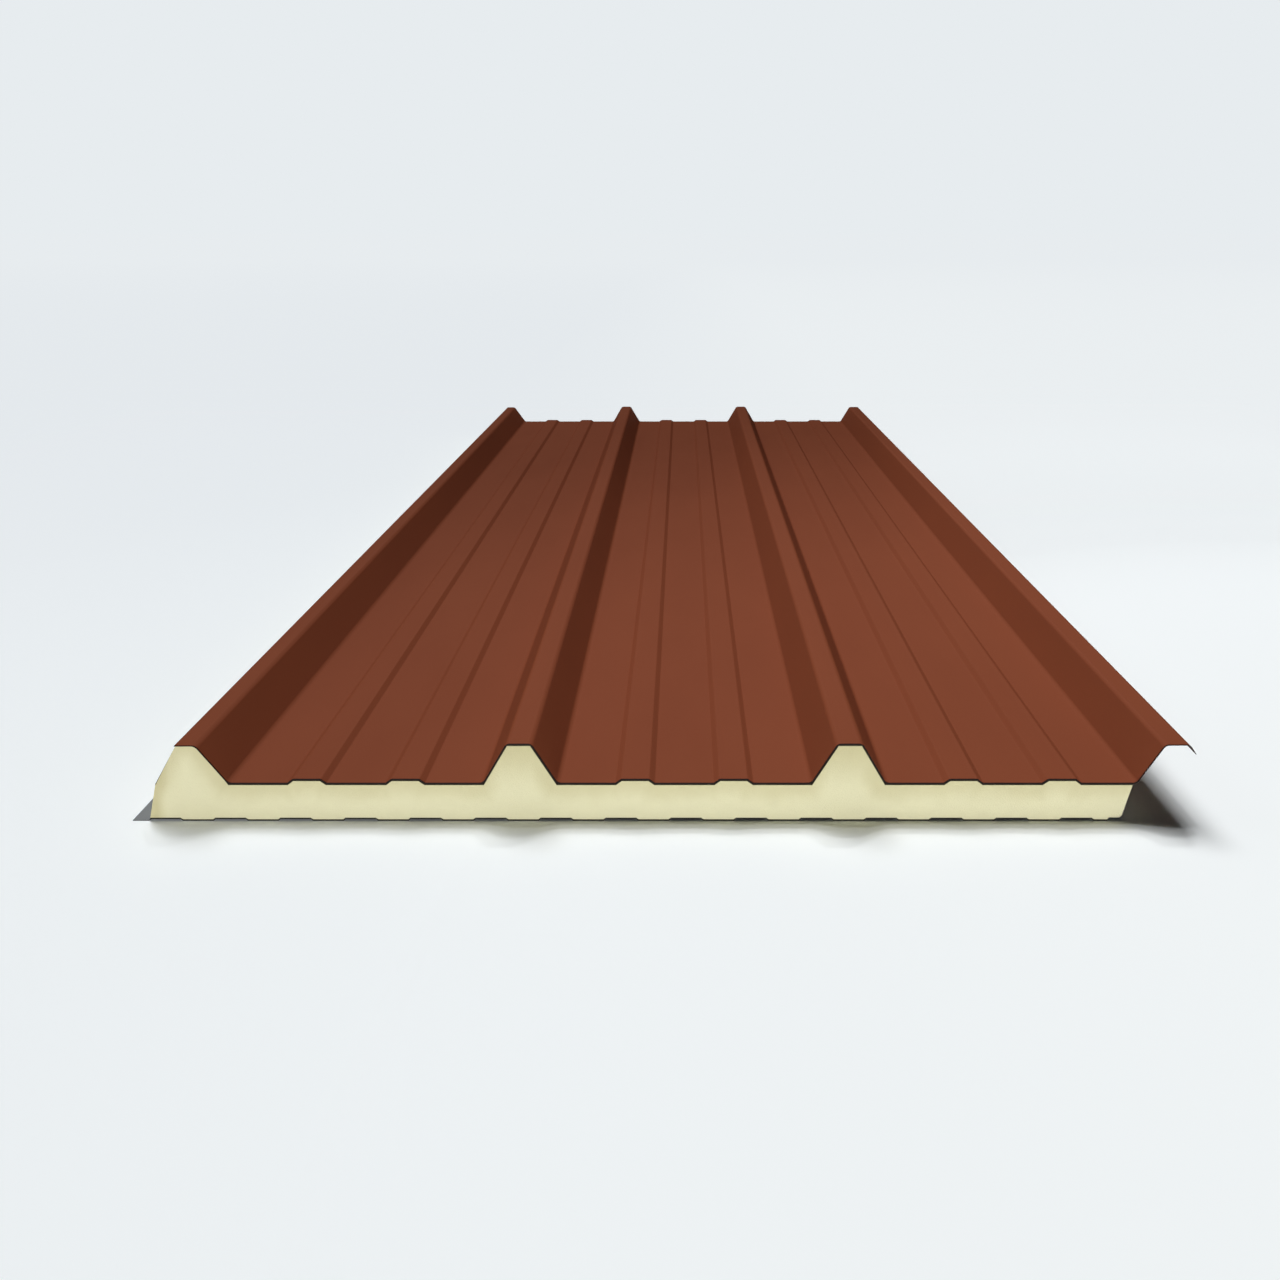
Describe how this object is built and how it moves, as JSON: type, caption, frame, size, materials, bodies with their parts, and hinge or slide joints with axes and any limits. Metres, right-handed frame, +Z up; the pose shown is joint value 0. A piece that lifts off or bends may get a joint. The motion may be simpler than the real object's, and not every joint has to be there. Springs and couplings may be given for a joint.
{
  "type": "insulated roof sandwich panel",
  "caption": "Insulated roof panel: rigid foam core between a trapezoidally ribbed, brown-painted outer steel sheet and a lightly profiled inner steel sheet, with an overlap wing.",
  "frame": {"origin": "middle of the panel's footprint, on the plane of the inner sheet's low strips, which it lies on; the middle of the 1000 mm cover width is at X = +0.025055 m", "axes": "+X across the panel, towards the overlap wing; +Y along the ribs; +Z up, from the inner sheet to the outer sheet"},
  "size_m": [1.0812, 2.5, 0.085],
  "materials": {
    "outer_sheet_paint": "satin red-brown coil coating",
    "rigid_foam": "pale yellow rigid foam, cut ends and moulded sides",
    "inner_sheet_paint": "light grey coil coating, grey backing coat on the foam side"
  },
  "bodies": {
    "root": {"outer_sheet": "outer_sheet_paint", "foam_core": "rigid_foam", "inner_sheet": "inner_sheet_paint"}
  },
  "joints": []
}
